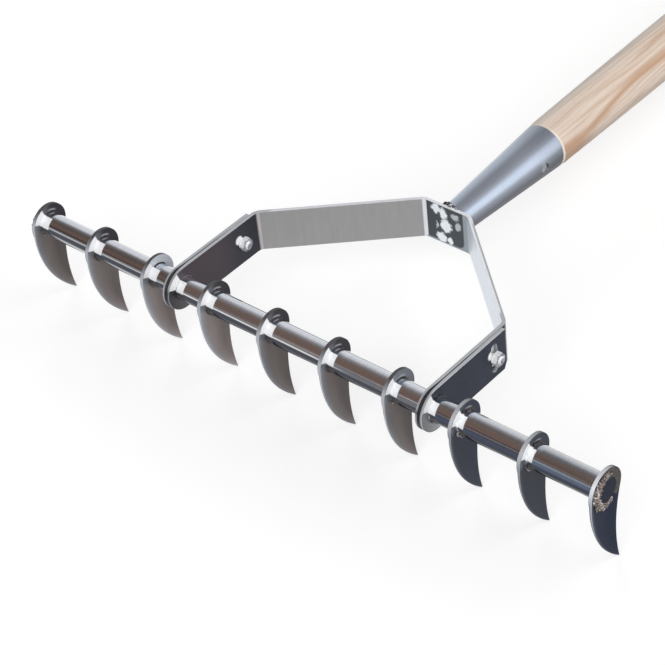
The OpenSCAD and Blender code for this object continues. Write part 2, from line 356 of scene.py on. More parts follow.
FAR_X = (0.085, 0.105)

# The lower white lines of painted reflection inside the yoke die out towards the right
LINES = angles(13, 33, 1.5)
LINE_END_STEEL = (0.145, 0.145, 0.16)
LINE_OUT_X = (0.01, 0.046)

# Long faint lines on the bar, by their scale along and round it, and fine turning marks
LONG_SCALE = (5, 16)
LONG_DETAIL = 3
LONG_LEVELS = (0.72, 1.28)
TURNED_SCALE = 900
TURNED_LEVELS = (0.86, 1.14)
BAR_ROUGH = (0.05, 0.13)

# Just right of a face a strip of the lower bar is darker and duller; the bar's end faces are dull and painted
# dark, a painted dark reflection like the blade faces
BESIDE_GAP = (7 * MM, 4.2 * MM)
BESIDE = angles(30.8, 35.2)
BESIDE_METAL = 0.25
BESIDE_UNDER = angles(44, 52)
BESIDE_UNDER_STEEL = (0.115, 0.104, 0.1)
END_FACE_STEEL = (0.034, 0.039, 0.056)
DULLED_ROUGH = 0.4

# Beside each blade, on the upper front of the bar, a matt white patch is a painted reflection, with a bluish grey
# band above it
WHITE_REFLECTION_BAR = angles(-24, 33, 2.2)
WHITE_REFLECTION_FACE = angles(-22, 25, 2.2)
WHITE_REFLECTION_BEAD = angles(-24, 30, 2.2)
WHITE_REFLECTION_L = 5.3 * MM
WHITE_REFLECTION_TAPER = 0.0076
WHITE_REFLECTION_EDGE = (0, -0.7 * MM)
FOOT_EDGE = 0.6 * MM
WELD_REACH = 9.5 * MM
FACE_SOFT = 0.1 * MM
BLUISH_BAND = angles(-42, -20, 7)
BLUISH_BAND_GAP = (1.6 * MM, 6.5 * MM, 1.2 * MM)
BLUISH_BAND_STEEL = (0.5, 0.54, 0.59)


def angle_round(graph, y, z):
    """The angle round the bar of a pair across it, from the bar's upper front downwards."""
    cosine, sine = math.cos(FRONT_ANGLE), math.sin(FRONT_ANGLE)
    out = graph.math("ADD", graph.times(y, cosine), graph.times(z, sine))
    down = graph.minus(graph.times(z, cosine), graph.times(y, sine))
    return graph.math("ARCTAN2", down, out)


def across_bar(graph, centre):
    """Place along the bar, and across it from a centre."""
    x, y, z = graph.split(graph.place())
    return x, graph.minus(y, centre.y), graph.minus(z, centre.z)


def round_bar(graph):
    """Place along the bar, angle round it and distance from its axis."""
    x, y, z = across_bar(graph, BAR)
    return x, angle_round(graph, y, z), graph.distance(y, z)


def right_of_faces(graph, x):
    """Distance to the right of the nearest welded blade, leg or plate."""
    gap = graph.math("MODULO", graph.minus(x, FIRST_FACE_X - PITCH), PITCH)
    for face_x in (LEG_FACE_X, PLATE_FACE_X):
        own = graph.minus(x, face_x)
        gap = graph.blend(graph.window(own, 0.0, WELD_REACH, FACE_SOFT), gap, own)
    return gap


def white_reflection_surface(graph, base, white_reflection, metal, rough, **others):
    """A surface whose painted white reflections are matt."""
    return graph.surface(
        Base_Color=base,
        Metallic=graph.blend(white_reflection, metal, WHITE_REFLECTION_METAL),
        Roughness=graph.blend(white_reflection, rough, WHITE_REFLECTION_ROUGH),
        **others,
    )


def bar_bands(graph, x, angle):
    """The bar's painted reflections, which change from bay to bay."""
    twisted = graph.minus(angle, graph.times(x, BAND_TWIST))
    middle_bay = graph.angle_ramp(twisted, MIDDLE_BANDS)
    base = graph.angle_ramp(twisted, LEFT_BANDS)
    bays = [
        (LEG_FACE_X, graph.cover(middle_bay, (LINE_END_STEEL, (twisted, LINES), (x, LINE_OUT_X)))),
        (PLATE_FACE_X, graph.angle_ramp(angle, RIGHT_BANDS)),
        (LAST_X - PITCH, graph.angle_ramp(angle, TIP_BANDS)),
    ]
    for bay_x, tones in bays:
        base = graph.mix((x, (bay_x - BAY_SOFT, bay_x + BAY_SOFT)), base, tones)
    return base


def bar_steel():
    graph = Graph("bar_steel")
    x, angle = round_bar(graph)[:2]
    gap = right_of_faces(graph, x)
    end_face = graph.step(graph.size(graph.facing()[0]), *END_FACING)
    beside = graph.times((gap, BESIDE_GAP), (angle, BESIDE))
    past = graph.minus(gap, graph.math("MULTIPLY_ADD", x, -WHITE_REFLECTION_TAPER, WHITE_REFLECTION_L))
    # painted white reflection beside each blade, on the bar's upper front
    white_reflection = graph.times((past, WHITE_REFLECTION_EDGE), (angle, WHITE_REFLECTION_BAR), graph.minus(1.0, end_face))
    lengthwise = graph.join(graph.times(x, LONG_SCALE[0]), graph.times(angle, LONG_SCALE[1]))
    lines = graph.noise(lengthwise, 1.0, LONG_DETAIL)
    turned = graph.noise(graph.join(graph.times(x, TURNED_SCALE), angle), 1.0)
    # the bands round the bar are painted reflections
    base = graph.varied(bar_bands(graph, x, angle), lines, *LONG_LEVELS)
    base = graph.cover(
        graph.varied(base, turned, *TURNED_LEVELS),
        (BLUISH_BAND_STEEL, (gap, BLUISH_BAND_GAP), (angle, BLUISH_BAND)),
        (BESIDE_UNDER_STEEL, beside, (angle, BESIDE_UNDER)),
        # the end faces painted dark: a painted dark reflection, as on the blade faces
        (END_FACE_STEEL, end_face),
        (WHITE_REFLECTION_STEEL, white_reflection),
    )
    metal = graph.blend(end_face, graph.blend(beside, 1.0, BESIDE_METAL), LAST_FACE_METAL)
    rough = graph.blend(graph.most(beside, end_face), graph.blend(lines, *BAR_ROUGH), DULLED_ROUGH)
    sheen = graph.blend(end_face, PLAIN_SHEEN, 0.0)
    return white_reflection_surface(graph, base, white_reflection, metal, rough, Specular_IOR_Level=sheen)


# Blade faces carry a painted dark reflection that darkens from the front edge to the rear, over a depth that is
# smaller at the tip
FRONT_R = 70 * MM
FACE_DEPTH = 16 * MM
TIP_DEPTH = 5.6 * MM
NARROW_Z = (-8 * MM, -56 * MM)
WARM_FACE = [
    (0, 0.48, 0.5, 0.55), (0.1, 0.34, 0.34, 0.37), (0.28, 0.285, 0.255, 0.255),
    (0.58, 0.25, 0.215, 0.206), (1, 0.175, 0.15, 0.145),
]
COOL_FACE = [(0, 0.2, 0.22, 0.27), (0.14, 0.072, 0.086, 0.13), (1, 0.052, 0.063, 0.104)]
FACE_CLOUD = (26, 60, 20)
WARM_LEVELS = (0.62, 1.34)
COOL_LEVELS = (0.8, 1.2)
BLADE_WEAR = ((300, 1200, 160), 3, 0.6)

# How bright the painted reflection on each blade's face is, by its place along the bar in millimetres
FACE_LEVELS = [
    (-216, 0.66), (-168, 0.8), (-120, 1), (-72, 0.92), (-24, 0.66), (72, 0.56), (120, 0.42),
    (168, 0.33), (216, 0.56),
]
LEVEL_REACH = 240

# Painted highlight and shade on the cut edges of the blades, by the angle that they face: pale on the right, and
# palest on the last blade
WARM_RIM = [
    (-88, 0.045, 0.045, 0.048), (-50, 0.075, 0.074, 0.078), (-18, 0.105, 0.098, 0.098),
    (0, 0.24, 0.25, 0.27), (22, 0.46, 0.48, 0.52), (56, 0.54, 0.56, 0.61), (80, 0.16, 0.16, 0.17),
]
COOL_RIM = [
    (-88, 0.1, 0.1, 0.105), (-60, 0.4, 0.405, 0.42), (-30, 0.62, 0.64, 0.68), (8, 0.9, 0.93, 0.98),
    (34, 0.62, 0.65, 0.71), (60, 0.38, 0.4, 0.45), (82, 0.1, 0.105, 0.115),
]
FAR_RIM_LEVEL = 0.66

# A lighter bluish tint below the painted white reflection on a blade
TINT_RISE = angles(0, 20)
TINT_FALL = angles(62, 31)
TINT_R = (15.5 * MM, 12.4 * MM)
TINT_STEEL = (0.27, 0.3, 0.34)
TINT_SHARE = 0.7

# The heads are painted dark, a painted dark reflection that fades lighter in part, with a painted pale arc of
# reflection; two of them carry lighter painted reflections, and the last one has a spotted brown patch
HEAD = angles(-20, -26)
FADE = angles(-60, -26)
FADE_SHARES = (0.6, 0.2)
FADE_STEEL = (0.16, 0.175, 0.2)
ARC = angles(-80, -46, 10)
ARC_R = (9.2 * MM, 10.2 * MM, 0.5 * MM)
ARC_SHARE = 0.45
ARC_STEEL = (0.7, 0.73, 0.78)
LIGHT_HEADS = [
    ((0.66, 0.7, 0.77), (-0.126, -0.114, 0.001)),
    ((0.2, 0.215, 0.245), (0.066, 0.078, 0.001)),
]
BROWN_HEAD_R = (14.2 * MM, 12.78 * MM)
BROWN_HEAD_STEEL = (0.105, 0.094, 0.09)
BROWN_HEAD_SPOTS = (420, 3, 0.6)
BROWN_HEAD_LEVELS = (0.3, 1.7)


def front_centre():
    """Centre of the arc of the blades' front edges, from the tip and the round head."""
    points = [vertex.co - BAR for vertex in frame["nodes"][BLADES[0]].data.vertices]
    tip = min(points, key=lambda point: point.z)
    tip.x = 0.0
    reach = tip.length
    inner = FRONT_R - HEAD_R
    share = (inner ** 2 - FRONT_R ** 2 + reach ** 2) / (2 * reach)
    along = tip / reach
    aside = X_WAY.cross(along)
    return BAR + share * along + math.sqrt(inner ** 2 - share ** 2) * aside


def face_depth(graph):
    """How far a place lies behind the front edge of its blade, as a share of the depth of tones."""
    whole = graph.blend((across_bar(graph, BAR)[2], NARROW_Z), FACE_DEPTH, TIP_DEPTH)
    from_centre = graph.distance(*across_bar(graph, front_centre())[1:])
    return graph.math("DIVIDE", graph.minus(FRONT_R, from_centre), whole)


def face_level(graph, x):
    """How bright the painted reflection on the face of the blade at a place along the bar is."""
    share = graph.math("MULTIPLY_ADD", x, 0.5 / (LEVEL_REACH * MM), 0.5)
    stops = [(0.5 + 0.5 * place / LEVEL_REACH, level, level, level) for place, level in FACE_LEVELS]
    return graph.ramp(share, stops)


def blade_head(graph, x, angle, radius, far, last):
    """Tones of the blades' round heads: painted reflections, and a spotted brown patch on the last."""
    brown_head = graph.varied(BROWN_HEAD_STEEL, graph.spots(*BROWN_HEAD_SPOTS), *BROWN_HEAD_LEVELS)
    return graph.cover(
        graph.mix(far, DARK_STEEL, SLATE_STEEL),
        (FADE_STEEL, (angle, FADE), graph.blend(far, *FADE_SHARES)),
        *((tone, (x, heads_x)) for tone, heads_x in LIGHT_HEADS),
        (ARC_STEEL, (radius, ARC_R), (angle, ARC), ARC_SHARE),
        (brown_head, last, (radius, BROWN_HEAD_R)),
    )


def blade_rim(graph, far, last):
    """Painted highlight and shade on the blades' cut edges, by the angle round the bar that they face."""
    angle = angle_round(graph, *graph.facing()[1:])
    cool = graph.varied(graph.angle_ramp(angle, COOL_RIM), last, FAR_RIM_LEVEL, 1.0)
    return graph.mix(far, graph.angle_ramp(angle, WARM_RIM), cool)


def blade_steel():
    graph = Graph("blade_steel")
    x, angle, radius = round_bar(graph)
    nx = graph.facing()[0]
    side = graph.step(graph.size(nx), *SIDE_FACING)
    far = graph.step(x, *FAR_X)
    last = graph.step(x, LAST_X - PITCH / 2, LAST_X)
    on_head = graph.step(angle, *HEAD)
    # painted white reflection on the blade's right face near the bar
    white_reflection = graph.times(
        (radius, (HEAD_R, HEAD_R - FOOT_EDGE)),
        (nx, RIGHT_FACING),
        (x, (LAST_X + FACE_SOFT, LAST_X - FACE_SOFT)),
        (angle, WHITE_REFLECTION_FACE),
    )
    # the face tones are a painted dark reflection, lighter towards the front edge
    depth = face_depth(graph)
    cloud = graph.grain(FACE_CLOUD)
    warm = graph.varied(graph.ramp(depth, WARM_FACE), cloud, *WARM_LEVELS)
    cool = graph.varied(graph.ramp(depth, COOL_FACE), cloud, *COOL_LEVELS)
    face = graph.cover(
        graph.scaled(graph.mix(far, warm, cool), face_level(graph, x)),
        # the heads' painted reflections
        (blade_head(graph, x, angle, radius, far, last), on_head),
        (TINT_STEEL, (angle, TINT_FALL), (angle, TINT_RISE), (radius, TINT_R), TINT_SHARE),
    )
    # the cut edges carry painted highlight and shade by the way that they face
    base = graph.cover(blade_rim(graph, far, last), (face, side), (WHITE_REFLECTION_STEEL, white_reflection))
    metal = graph.blend(on_head, graph.blend(last, FACE_METAL, LAST_FACE_METAL), HEAD_METAL)
    sheen = graph.blend(last, DULL_SHEEN, 0.0)
    return flat_surface(graph, base, side, white_reflection, graph.grain(*BLADE_WEAR), metal, sheen)


def flat_surface(graph, base, side, white_reflection, wear, face_metal, sheen=DULL_SHEEN):
    """Ground strip or plate: faces partly mirror, cut edges less, the matt painted white reflections not."""
    rough = graph.blend(side, RIM_ROUGH, graph.blend(wear, *FACE_ROUGH))
    metal = graph.blend(side, RIM_METAL, face_metal)
    return white_reflection_surface(graph, base, white_reflection, metal, rough, Specular_IOR_Level=sheen)


# The slotted plates: slate faces that are a painted dark reflection, pale edges with a painted highlight line, a
# dark seam towards the leg, a dull foot with a painted white reflection
SEAM_HALVES = (0.45 * MM, 1.5 * MM)
SEAM_WIDE_Y = (12 * MM, -10 * MM)
SEAM_FAINT_Y = (30 * MM, 50 * MM)
SEAM_SHARES = (0.95, 0.35)
SEAM_EDGE = (1, 0.6)
SLATE_SPOTS = 45
SLATE_LEVELS = (0.62, 1.05)
STRIP_RIM = (0.42, 0.43, 0.45)
EDGE_LINE = (0.78, 0.79, 0.82)
EDGE_LINE_FACING = (0.3, 0.85, 0.1)
DULL_STEEL = (0.4, 0.415, 0.425)
DULL_SPOTS = (900, 3, 0.7)
DULL_LEVELS = (0.35, 1.75)
DULL = angles(24, 29)
PLATE_WEAR = ((300, 260, 900), 3, 0.6)

# Painted reflection of each nut beside it: its centre from the bolt's, forward and up, and its half widths
NUT_REFLECTION_OVAL = (-3.4 * MM, 3.9 * MM, 3 * MM, 3 * MM)


def seam(graph):
    """The dark joint between plate and leg, wide at the round foot and faint near the bend."""
    x, y = across_bar(graph, BAR)[:2]
    gap = graph.size(graph.minus(graph.size(x), SEAM_X))
    half = graph.blend((y, SEAM_WIDE_Y), *SEAM_HALVES)
    faint = graph.blend((y, SEAM_FAINT_Y), *SEAM_SHARES)
    return graph.times((graph.math("DIVIDE", gap, half), SEAM_EDGE), faint)


def foot_zones(graph, angle, radius):
    """The painted white reflection and the dull part of the round foot of a plate or leg."""
    inside = graph.step(radius, FOOT_R, FOOT_R - FOOT_EDGE)
    return graph.times(inside, (angle, WHITE_REFLECTION_FACE)), graph.times(inside, (angle, DULL))


def nut_reflection(graph, side):
    """1 on the painted reflection of a nut beside it."""
    bolt = middle("clamp_bolt_" + side) - BAR
    forward = graph.minus(graph.along(Y_WAY), bolt.dot(Y_WAY))
    rise = graph.minus(graph.along(Z_WAY), bolt.dot(Z_WAY))
    return graph.blob(forward, rise, NUT_REFLECTION_OVAL)


def plate_steel():
    graph = Graph("plate_steel")
    angle, radius = round_bar(graph)[1:]
    nx = graph.facing()[0]
    side = graph.step(graph.size(nx), *SIDE_FACING)
    right = graph.step(nx, *RIGHT_FACING)
    # painted reflections: white on the foot, and the nut mirrored beside it
    white_reflection, dull = foot_zones(graph, angle, radius)
    white_reflection = graph.times(graph.most(white_reflection, nut_reflection(graph, "right")), right)
    # the slate face is a painted dark reflection
    face = graph.varied(SLATE_STEEL, graph.spots(SLATE_SPOTS), *SLATE_LEVELS)
    dull_tone = graph.varied(DULL_STEEL, graph.spots(*DULL_SPOTS), *DULL_LEVELS)
    base = graph.cover(
        graph.mix(side, STRIP_RIM, graph.cover(face, (dull_tone, dull, right))),
        # painted highlight along the broken edges, by the way that they face
        (EDGE_LINE, (graph.size(nx), EDGE_LINE_FACING)),
        (SEAM_STEEL, seam(graph)),
        (WHITE_REFLECTION_STEEL, white_reflection),
    )
    return flat_surface(graph, base, side, white_reflection, graph.grain(*PLATE_WEAR), FACE_METAL)


# Painted reflections: the yoke's tone by the way that the strip faces along the bar, from left to right
YOKE_TONES = [
    (0.03, 0.065, 0.062, 0.07), (0.08, 0.62, 0.64, 0.68), (0.15, 0.76, 0.81, 0.87),
    (0.2, 0.78, 0.83, 0.89), (0.25, 0.5, 0.56, 0.62), (0.4, 0.44, 0.5, 0.55),
    (0.47, 0.075, 0.086, 0.098), (0.53, 0.075, 0.086, 0.098), (0.57, 0.78, 0.8, 0.84),
    (0.76, 0.78, 0.79, 0.82), (0.8, 0.35, 0.35, 0.35), (0.86, 0.35, 0.35, 0.35),
    (0.9, 0.54, 0.5, 0.51), (0.955, 0.46, 0.43, 0.44), (0.985, 0.068, 0.056, 0.066),
]
YOKE_METAL = 0.85
YOKE_WEAR = ((500, 500, 60), 3, 0.6)
WEAR_LEVELS = (0.9, 1.1)
LEG_FACING = (0.97, 0.99)
LEG_DULL_STEEL = (0.12, 0.12, 0.13)
NAVY_STEEL = (0.03, 0.033, 0.046)
NAVY_Y = (0.028, 0.058)
NAVY_SHARE = 0.8
GLINT_R = (9 * MM, 8.1 * MM)
GLINT_X = (LEG_R_X - 1 * MM, LEG_R_X - 0.5 * MM)
LEFT_X = (0, -1 * MM)

# Painted reflections in patches on the inside of the back: centre and half widths, across and up, in millimetres
BACK_FACING = (-0.93, -0.985)
WHITE_PATCH = (0.86, 0.9, 0.94)
WHITE_PATCHES = [
    (-8.1, 10.7, 3.2, 3.4), (-2.4, 8.7, 2.8, 4), (-0.6, -0.3, 3.9, 5), (-4.8, -10.2, 4, 3.3),
    (2.1, -10.2, 2.2, 2.7),
]
GREY_PATCH = (0.5, 0.53, 0.58)
GREY_PATCHES = [
    (7.2, 9.4, 2.8, 2.1), (9, 2.9, 2, 3), (-7.6, -1.5, 0.7, 2.8),
]
PATCH_WARP = 5 * MM
PATCH_SPOTS = (330, 410)

# The dark mirror image on the back ends short of its right and lower edges, in a rounded corner
MIRROR_RIGHT_X = 8.5 * MM
MIRROR_LOW_Z = -8.5 * MM
MIRROR_CORNER = (4 * MM, 5.2 * MM)
PALE_SIDE_STEEL = (0.32, 0.36, 0.39)

# Painted highlights and shade on the strip's edges: on the left run, on the right run by its inner and outer half,
# and on the back
EDGE_FACING = (0.3, 0.6)
EDGE_STEEL = (0.62, 0.63, 0.65)
RIGHT_EDGE_STEEL = (0.4, 0.405, 0.42)
RIGHT_EDGE_X = (18 * MM, 26 * MM)
PALE_EDGE_STEEL = (0.8, 0.82, 0.85)
BACK_EDGE_STEEL = (0.72, 0.73, 0.76)
BACK_EDGE_X = (-20 * MM, 24 * MM, 3 * MM)
LEG_EDGE_X = (88 * MM, 92 * MM)

# The way out of the yoke's right run, the place of its inner face along it, and its outer half
RUN_OUT = way(0.6607, 0.7507, 0)
RUN_INNER = 114.87 * MM
RUN_OUTER = (0.7 * MM, 1.7 * MM)


def back_patches(graph, x, ovals):
    """Mask of ragged ovals of painted reflection on the inside of the yoke's back."""
    across = graph.math("MULTIPLY_ADD", graph.spots(PATCH_SPOTS[0]), PATCH_WARP, x)
    rise = graph.math("MULTIPLY_ADD", graph.spots(PATCH_SPOTS[1]), PATCH_WARP, graph.along(Z_WAY))
    mask = 0.0
    for oval in ovals:
        sizes = [length * MM for length in oval]
        sizes[0] += PATCH_WARP / 2
        sizes[1] += PATCH_WARP / 2
        mask = graph.most(graph.blob(across, rise, sizes), mask)
    return mask


def pale_side(graph, x):
    """1 on the pale right and lower margins of the inside of the yoke's back."""
    right = graph.most(graph.minus(x, MIRROR_RIGHT_X), 0.0)
    below = graph.most(graph.minus(MIRROR_LOW_Z, graph.along(Z_WAY)), 0.0)
    return graph.step(graph.distance(right, below), *MIRROR_CORNER)


def strip_edge(graph, x):
    """Painted highlights and shade on the upper and lower edges of the yoke's strip."""
    outside = graph.minus(graph.along(RUN_OUT), RUN_INNER)
    right_run = graph.mix((outside, RUN_OUTER), PALE_EDGE_STEEL, RIGHT_EDGE_STEEL)
    return graph.cover(
        EDGE_STEEL,
        (right_run, (x, RIGHT_EDGE_X)),
        (BACK_EDGE_STEEL, (x, BACK_EDGE_X)),
        (STRIP_RIM, (graph.size(x), LEG_EDGE_X)),
    )


def yoke_steel():
    graph = Graph("yoke_steel")
    x, angle, radius = round_bar(graph)
    nx, ny, nz = graph.facing()
    edge = graph.step(graph.size(nz), *EDGE_FACING)
    leg = graph.step(nx, *LEG_FACING)
    back = graph.step(ny, *BACK_FACING)
    # painted reflections: white on the foot, the leg seen bright through the slot, and the left nut mirrored on
    # the leg
    white_reflection, dull = foot_zones(graph, angle, radius)
    from_bolt = graph.distance(*across_bar(graph, middle("clamp_bolt_right"))[1:])
    glint = graph.times((from_bolt, GLINT_R), (x, GLINT_X))
    left_nut_reflection = graph.times(nut_reflection(graph, "left"), (x, LEFT_X))
    white_reflection = graph.times(graph.most(graph.most(white_reflection, glint), left_nut_reflection), leg)
    base = graph.cover(
        # the tones by facing are painted reflections
        graph.ramp(graph.math("MULTIPLY_ADD", nx, 0.5, 0.5), YOKE_TONES),
        (NAVY_STEEL, leg, (across_bar(graph, BAR)[1], NAVY_Y), NAVY_SHARE),
        (PALE_SIDE_STEEL, pale_side(graph, x), back),
        # painted reflections on the inside of the back
        (GREY_PATCH, back_patches(graph, x, GREY_PATCHES), back),
        (WHITE_PATCH, back_patches(graph, x, WHITE_PATCHES), back),
        (LEG_DULL_STEEL, dull, leg),
        # painted highlights and shade on the strip's edges
        (strip_edge(graph, x), edge),
        (SEAM_STEEL, seam(graph)),
        (WHITE_REFLECTION_STEEL, white_reflection),
    )
    wear = graph.grain(*YOKE_WEAR)
    base = graph.varied(base, wear, *WEAR_LEVELS)
    return flat_surface(graph, base, graph.minus(1.0, edge), white_reflection, wear, YOKE_METAL)


# Satin steel of the socket with painted highlight and shade by the side that it faces, in degrees from its top to
# its right
SOCKET_STEEL = [
    (-40, 0.45, 0.5, 0.56), (-13, 0.4, 0.44, 0.5), (8, 0.24, 0.256, 0.29), (36, 0.186, 0.202, 0.24),
    (48, 0.28, 0.32, 0.39), (60, 0.3, 0.338, 0.405), (84, 0.212, 0.228, 0.26),
    (96, 0.146, 0.154, 0.178), (116, 0.1, 0.106, 0.122),
]
SOCKET_MIDDLE_DEG = 40
SOCKET_GRAIN = ((1400, 500, 1400), 4, 0.7)
SOCKET_GRAIN_LEVELS = (0.86, 1.14)
SOCKET_CLOUD = ((60, 9, 60), 3)
SOCKET_CLOUD_LEVELS = (0.82, 1.18)
SOCKET_ROUGH = (0.36, 0.46)
SOCKET_BUMP = (0.06 * MM, 0.3)
# painted shade: the highlight dims near the mouth
NEAR_MOUTH_Y = (SOCKET_MOUTH_Y - 36 * MM, SOCKET_MOUTH_Y)
MOUTH_LEVEL = 0.78


def satin_steel():
    graph = Graph("satin_steel")
    facing = graph.facing()
    grain = graph.grain(*SOCKET_GRAIN)
    side = graph.minus(graph.math("ARCTAN2", facing[0], facing[2]), SOCKET_MIDDLE_DEG * DEG)
    # the tones by the side faced are painted highlight and shade
    stops = [(deg - SOCKET_MIDDLE_DEG, *tone) for deg, *tone in SOCKET_STEEL]
    base = graph.varied(graph.angle_ramp(side, stops), graph.grain(*SOCKET_CLOUD), *SOCKET_CLOUD_LEVELS)
    base = graph.varied(base, grain, *SOCKET_GRAIN_LEVELS)
    near_mouth = graph.step(graph.split(graph.place())[1], *NEAR_MOUTH_Y)
    return graph.surface(
        Base_Color=graph.varied(base, near_mouth, 1.0, MOUTH_LEVEL),
        Metallic=1.0,
        Roughness=graph.blend(grain, *SOCKET_ROUGH),
        Normal=graph.bump(grain, *SOCKET_BUMP),
    )


# Weld metal from its pits to its crests, the crests painted pale as glints; the beads at the roots of the
# right-hand blades are heavier
BEAD_METAL = 0.6
BEAD_ROUGH = (0.48, 0.28)
BEAD_TEXTURE = (3, 0.65)
BEAD_BUMP = (0.35 * MM, 0.5)
END_WELD_TONES = [(0.34, *srgb(62, 56, 54)), (0.5, *srgb(112, 100, 94)), (0.7, *srgb(214, 208, 204))]
ROOT_WELD_TONES = [(0.36, *srgb(52, 49, 50)), (0.54, *srgb(86, 82, 82)), (0.74, *srgb(170, 170, 174))]
HEAVY_WELD_TONES = [
    (0.36, *srgb(60, 60, 66)), (0.54, *srgb(116, 117, 122)), (0.7, *srgb(226, 228, 232)),
]
SOCKET_WELD_TONES = [(0.38, *srgb(34, 34, 38)), (0.54, *srgb(78, 80, 86)), (0.66, *srgb(238, 240, 244))]
END_WELD_SPOTS = 650
ROOT_WELD_SPOTS = 520
SOCKET_WELD_SPOTS = 500
HEAVY_BELOW = angles(0, 25)
# the top of the beads is painted dark, like the heads' painted dark reflection
DARK_ABOVE = angles(-24, -31)


def bead_steel(name, tones, scale):
    """Rough weld metal, its crests painted pale as glints."""
    graph = Graph(name)
    spots = graph.spots(scale, *BEAD_TEXTURE)
    return graph.surface(
        Base_Color=graph.ramp(spots, tones),
        Metallic=BEAD_METAL,
        Roughness=graph.blend(spots, *BEAD_ROUGH),
        Normal=graph.bump(spots, *BEAD_BUMP),
    )


def root_bead_steel():
    """Rough weld metal round the bar, with a painted white reflection on its front, painted dark above as a dark
    reflection, and crests painted pale as glints.
    """
    graph = Graph("root_weld")
    x, angle = round_bar(graph)[:2]
    spots = graph.spots(ROOT_WELD_SPOTS, *BEAD_TEXTURE)
    # painted white reflection on the front of the bead
    white_reflection = graph.window(angle, *WHITE_REFLECTION_BEAD)
    base = graph.cover(
        graph.ramp(spots, ROOT_WELD_TONES),
        (graph.ramp(spots, HEAVY_WELD_TONES), (x, FAR_X), (angle, HEAVY_BELOW)),
        # painted dark reflection on the top of the bead
        (DARK_STEEL, (angle, DARK_ABOVE)),
        (WHITE_REFLECTION_STEEL, white_reflection),
    )
    rough = graph.blend(spots, *BEAD_ROUGH)
    bumps = graph.bump(spots, *BEAD_BUMP)
    return white_reflection_surface(graph, base, white_reflection, BEAD_METAL, rough, Normal=bumps)


# Fasteners: bright turned sides and greyer end faces
NUT_SIDE_TONES = [(0.3, 0.8, 0.81, 0.84), (0.6, 0.97, 0.97, 0.98)]
NUT_END_TONES = [(0.36, 0.095, 0.105, 0.125), (0.62, 0.4, 0.42, 0.46)]
SCREW_SIDE_TONES = [(0.3, 0.5, 0.51, 0.53), (0.7, 0.74, 0.75, 0.77)]
SCREW_END_TONES = [(0.3, 0.22, 0.225, 0.235), (0.7, 0.38, 0.385, 0.4)]
SIDE_METAL = 0.1
END_METAL = 0.9
FASTENER_SPOTS = (700, 3, 0.6)
FASTENER_ROUGH = (0.18, 0.32)
FASTENER_END_FACING = (0.75, 0.92)


def fastener_steel(name, side_tones, end_tones):
    graph = Graph(name)
    marks = graph.spots(*FASTENER_SPOTS)
    end = graph.step(graph.facing()[0], *FASTENER_END_FACING)
    return graph.surface(
        Base_Color=graph.mix(end, graph.ramp(marks, side_tones), graph.ramp(marks, end_tones)),
        Metallic=graph.blend(end, SIDE_METAL, END_METAL),
        Roughness=graph.blend(marks, *FASTENER_ROUGH),
    )


# Ash: growth rings seen lengthways, faint in places, with slow changes of tone
PITH_X = 0.048
PITH_Z = -0.052
RINGS_PER_M = 250
RING_DRIFT = 0.03
RING_TONES = [
    (0, *srgb(204, 178, 156)), (0.3, *srgb(220, 201, 184)), (0.72, *srgb(228, 212, 198)),
    (1, *srgb(206, 181, 160)),
]
PLAIN_ASH = srgb(226, 209, 194)
DRIFT_GRAIN = ((30, 3, 30), 3, 0.55)
FAINT_GRAIN = (90, 4, 90)
FAINT = (0.36, 0.62)
TONE_GRAIN = (44, 5, 44)
TONE_LEVELS = (0.86, 1.1)

# Brown streaks, fibres and pores: where their noise shows, and the share of their tone
STREAK_BROWN = srgb(184, 142, 108)
STREAK_GRAIN = (150, 7, 150)
STREAK = (0.52, 0.74)
STREAK_SHARE = 0.65
FIBRE_BROWN = srgb(182, 150, 126)
FIBRE_GRAIN = ((1500, 22, 1500), 3, 0.6)
FIBRE = (0.4, 0.8)
FIBRE_SHARE = 0.38
FIBRE_BUMP = (0.12 * MM, 0.35)
PORE_BROWN = srgb(150, 116, 92)
PORE_GRAIN = (2600, 110, 2600)
PORE = (0.62, 0.78)
PORE_SHARE = 0.4
WOOD_ROUGH = (0.46, 0.62)

# Angles round the handle grow from its top to its right: a grey side that is painted shade, a brown heart line
# that wanders and climbs, a stain where it leaves the socket, an underside darkened as painted shade and a pale
# shoulder edge that is a painted highlight
GREY_ASH = srgb(188, 181, 173)
GREY = angles(-58, -14, 18)
GREY_SHARE = 0.7
HEART = angles(62, 74, 7)
HEART_FAINT = (0.3, 0.6)
HEART_SHARES = (0.6, 0.95)
HEART_WANDER = 30 * DEG
HEART_CLIMB = 28 * DEG
HEART_CLIMB_Y = (BAR.y + 0.25, BAR.y + 0.33)
STAIN = angles(58, 76)
STAIN_Y = (BAR.y + 0.284, BAR.y + 0.252)
STAIN_SHARE = 0.8
UNDER = angles(98, 150, 14)
UNDER_LEVEL = 0.84
SHOULDER_PALE = srgb(242, 233, 222)
SHOULDER_Y = (SOCKET_MOUTH_Y + 2.2 * MM, SOCKET_MOUTH_Y + 1.32 * MM)
SHOULDER = angles(0, 40)
SHOULDER_SHARES = (0.25, 1)


def growth_ring(graph, x, z):
    """How far a place lies through its growth ring."""
    from_pith = graph.distance(graph.minus(x, PITH_X), graph.minus(z, PITH_Z + BAR.z))
    drift = graph.times(graph.grain(*DRIFT_GRAIN), RING_DRIFT)
    return graph.math("FRACT", graph.times(graph.math("ADD", from_pith, drift), RINGS_PER_M))


